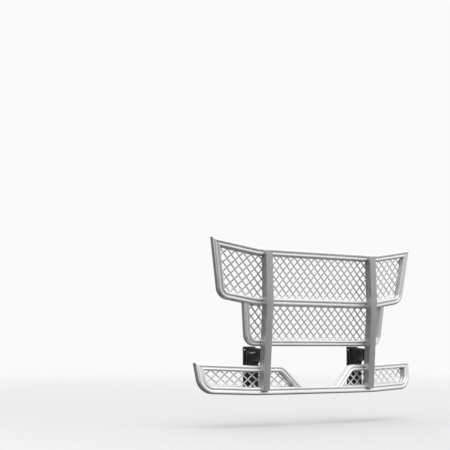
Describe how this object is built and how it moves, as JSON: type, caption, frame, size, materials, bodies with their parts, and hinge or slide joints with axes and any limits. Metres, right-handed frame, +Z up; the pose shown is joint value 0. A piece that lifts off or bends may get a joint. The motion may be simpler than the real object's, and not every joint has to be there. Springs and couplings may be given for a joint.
{
  "type": "front grille guard",
  "caption": "Fold-down aluminium grille guard for a truck front: grooved rail frames with diamond mesh, two bent uprights and hinged steel brackets.",
  "frame": {"origin": "centre of the bounding box's floor, under the middle of the guard, level with the underside of its bottom rail", "axes": "+X across the truck from its right-hand side to its left as driven, seen from ahead left to right; -Y is forward, away from the truck, and +Y runs back to the truck; +Z up"},
  "size_m": [2.242, 0.3092, 1.2397],
  "materials": {
    "rail_aluminium": "bright anodised extrusion",
    "upright_aluminium": "satin grey anodised",
    "mesh_aluminium": "satin expanded sheet",
    "black_steel": "black powder coat",
    "zinc_steel": "zinc plated",
    "black_plastic": "matt moulded",
    "rubber": "moulded rubber"
  },
  "bodies": {
    "truck_mounts": {"left_mounting_bracket": "black_steel", "left_hinge_pin": "zinc_steel", "left_pin_collar": "zinc_steel", "left_stop_buffer": "rubber", "left_buffer_nut": "zinc_steel", "right_mounting_bracket": "black_steel", "right_hinge_pin": "zinc_steel", "right_pin_collar": "zinc_steel", "right_stop_buffer": "rubber", "right_buffer_nut": "zinc_steel"},
    "guard": {"top_rail": "rail_aluminium", "upper_frame_rail": "rail_aluminium", "middle_frame_rail": "rail_aluminium", "bar_bottom_rail": "rail_aluminium", "upper_mesh": "mesh_aluminium", "middle_mesh": "mesh_aluminium", "left_bar_top_rail": "rail_aluminium", "left_bar_mesh": "mesh_aluminium", "left_upright": "upright_aluminium", "left_upright_top_cap": "upright_aluminium", "left_upright_foot_cap": "upright_aluminium", "left_mid_rail_bolt": "zinc_steel", "left_middle_rail_bolt": "zinc_steel", "left_bar_rail_bolt": "zinc_steel", "left_hinge_lug": "rail_aluminium", "left_hinge_bush": "black_plastic", "left_striker": "black_steel", "right_bar_top_rail": "rail_aluminium", "right_bar_mesh": "mesh_aluminium", "right_upright": "upright_aluminium", "right_upright_top_cap": "upright_aluminium", "right_upright_foot_cap": "upright_aluminium", "right_mid_rail_bolt": "zinc_steel", "right_middle_rail_bolt": "zinc_steel", "right_bar_rail_bolt": "zinc_steel", "right_hinge_lug": "rail_aluminium", "right_hinge_bush": "black_plastic", "right_striker": "black_steel"},
    "left_latch": {"left_latch_pin": "zinc_steel", "left_latch_knob": "black_plastic"},
    "right_latch": {"right_latch_pin": "zinc_steel", "right_latch_knob": "black_plastic"}
  },
  "joints": [
    {"name": "guard_fold", "type": "hinge", "parent": "truck_mounts", "child": "guard", "pos_m": [0, 0.01055, 0.029], "axis": [1, 0, 0], "range_deg": [0, 90]},
    {"name": "left_latch_slide", "type": "slide", "parent": "truck_mounts", "child": "left_latch", "axis": [1, 0, 0], "range_m": [0, 0.052]},
    {"name": "right_latch_slide", "type": "slide", "parent": "truck_mounts", "child": "right_latch", "axis": [-1, 0, 0], "range_m": [0, 0.052]}
  ]
}
